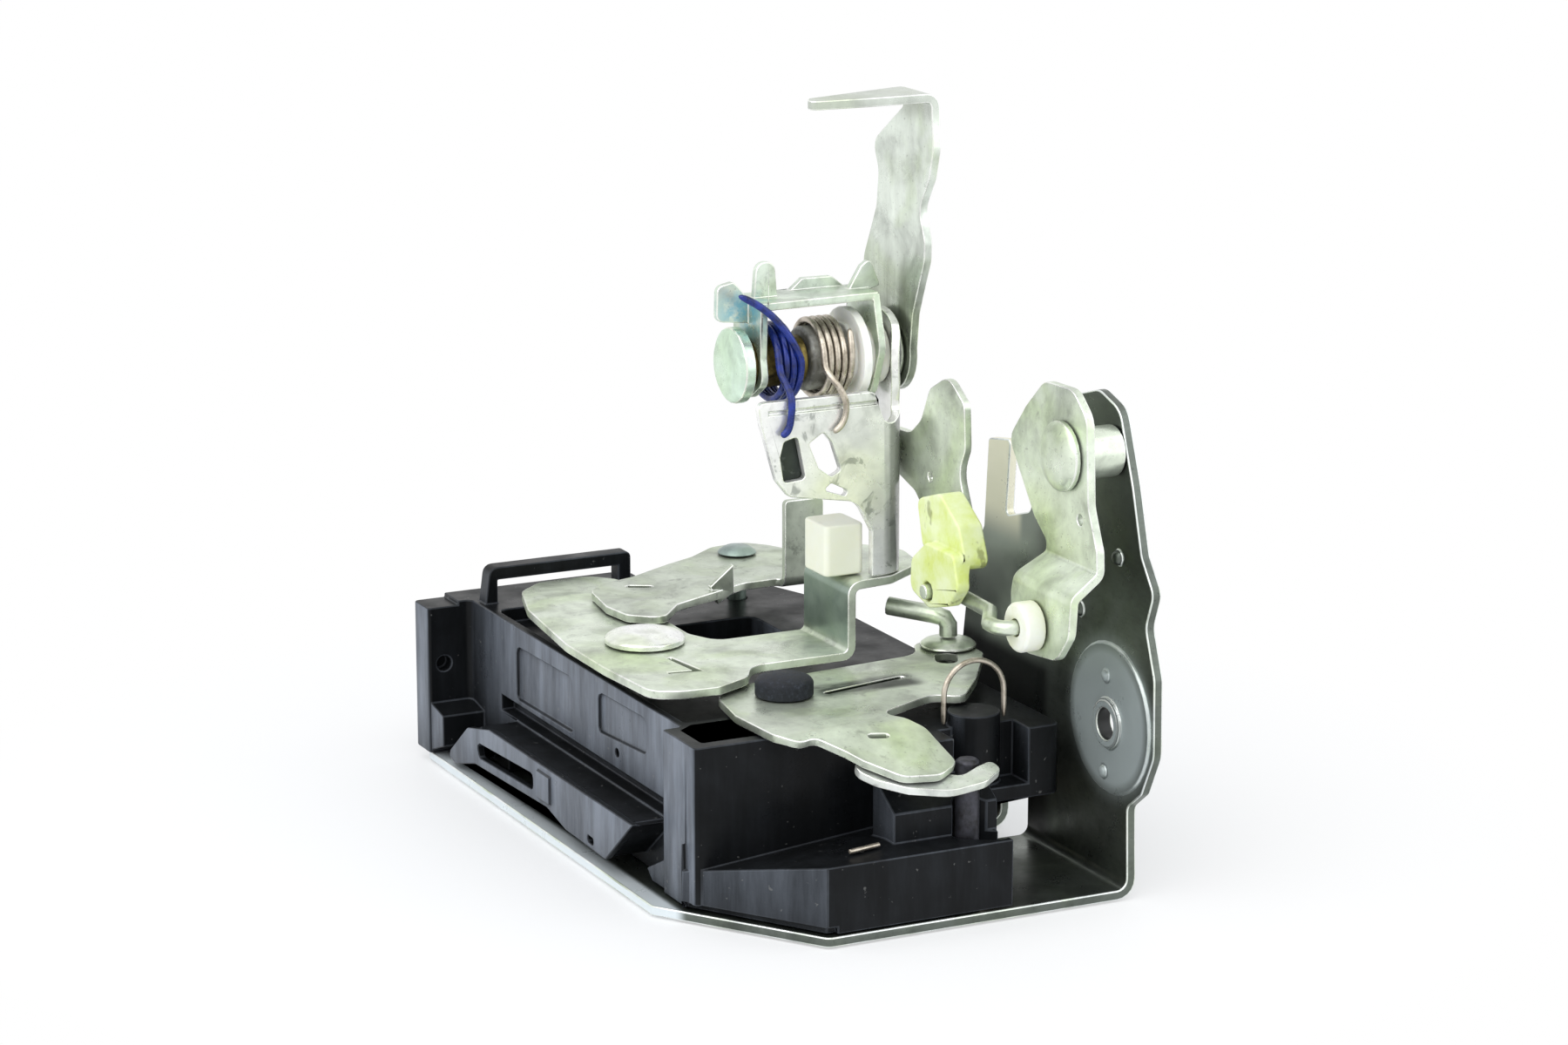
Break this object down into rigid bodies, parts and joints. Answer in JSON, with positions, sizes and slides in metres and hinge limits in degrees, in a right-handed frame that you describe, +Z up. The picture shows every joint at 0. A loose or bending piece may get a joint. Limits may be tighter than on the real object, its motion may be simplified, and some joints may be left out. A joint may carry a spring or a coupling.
{
  "type": "car door lock",
  "caption": "Car door lock with a rotary fork and pawl, levers, torsion springs, a tall release lever and a rod linkage on an angled steel plate with a black moulded housing.",
  "frame": {"origin": "middle of the flat face on the underside of the base plate, which rests on the door's shut edge", "axes": "+Z up, away from the door's shut edge; +X towards the tall mounting flange; +Y along the housing, away from the release hook"},
  "size_m": [0.09, 0.161, 0.1523],
  "materials": {
    "zinc": "zinc plated, satin",
    "dark_zinc": "dull grey zinc",
    "black_plastic": "moulded, slight sheen",
    "black_rubber": "matt",
    "black_steel": "blackened",
    "bare_steel": "bare",
    "blue_lacquer": "blue lacquer",
    "brass": "dull",
    "white_nylon": "satin",
    "cream_nylon": "satin",
    "green_nylon": "satin"
  },
  "bodies": {
    "lock_body": {"base_plate": "dark_zinc", "housing": "black_plastic", "support_bracket": "zinc", "bracket_rivet": "zinc", "release_rivet": "zinc", "relay_rivet": "zinc", "tower_frame": "zinc", "tower_pin": "zinc", "spacer_bush": "brass", "spring_drum": "white_nylon", "blue_spring": "blue_lacquer", "plain_spring": "bare_steel", "tower_washer": "zinc", "nylon_block": "cream_nylon", "lock_rivet": "zinc", "upright_rivet": "zinc", "fork_pin": "bare_steel", "fork_spring": "bare_steel", "pawl_pin": "bare_steel", "pawl_spring": "bare_steel", "mouth_bumper": "black_rubber", "seal_wire": "bare_steel"},
    "fork": {"fork_bolt": "bare_steel"},
    "pawl_arm": {"pawl": "bare_steel", "catch_pin": "black_steel"},
    "release": {"release_lever": "zinc", "catch_hook": "zinc", "rubber_bumper": "black_rubber", "cable_pin": "zinc"},
    "relay": {"relay_lever": "zinc"},
    "tall": {"tall_lever": "zinc"},
    "yoke": {"yoke_lever": "zinc"},
    "upright": {"upright_lever": "zinc", "rod_bushing": "white_nylon"},
    "rod": {"link_rod": "zinc"},
    "lock": {"lock_lever": "zinc", "rod_clip": "green_nylon"}
  },
  "joints": [
    {"name": "fork_turn", "type": "hinge", "parent": "lock_body", "child": "fork", "pos_m": [0.016, -0.025, 0.0051], "axis": [0, 0, 1], "range_deg": [-55, 0]},
    {"name": "pawl_turn", "type": "hinge", "parent": "lock_body", "child": "pawl_arm", "pos_m": [0.0243, -0.062, 0.00485], "axis": [0, 0, 1], "range_deg": [0, 12]},
    {"name": "release_turn", "type": "hinge", "parent": "lock_body", "child": "release", "pos_m": [0.038, -0.026, 0.0364], "axis": [0, 0, 1], "range_deg": [0, 4]},
    {"name": "relay_turn", "type": "hinge", "parent": "lock_body", "child": "relay", "pos_m": [0.0245, 0.045, 0.0411], "axis": [0, 0, 1], "range_deg": [-5, 10]},
    {"name": "tall_turn", "type": "hinge", "parent": "lock_body", "child": "tall", "pos_m": [0.0301, -0.017, 0.0983], "axis": [1, 0, 0], "range_deg": [-15, 20]},
    {"name": "yoke_turn", "type": "hinge", "parent": "lock_body", "child": "yoke", "pos_m": [0.009, -0.017, 0.0983], "axis": [1, 0, 0], "range_deg": [-8, 0]},
    {"name": "upright_turn", "type": "hinge", "parent": "lock_body", "child": "upright", "pos_m": [0.0359, -0.0773, 0.0883], "axis": [1, 0, 0], "range_deg": [0, 8]},
    {"name": "rod_swing", "type": "hinge", "parent": "upright", "child": "rod", "pos_m": [0.026, -0.0775, 0.0556], "axis": [1, 0, 0], "range_deg": [-18, 0]},
    {"name": "lock_turn", "type": "hinge", "parent": "lock_body", "child": "lock", "pos_m": [0.0297, -0.019, 0.0795], "axis": [1, 0, 0], "range_deg": [0, 9.8]}
  ],
  "couplings": [
    {"joint": "pawl_turn", "follows": "release_turn", "ratio": 3},
    {"joint": "rod_swing", "follows": "upright_turn", "ratio": -2.24},
    {"joint": "lock_turn", "follows": "upright_turn", "ratio": 1.22}
  ]
}
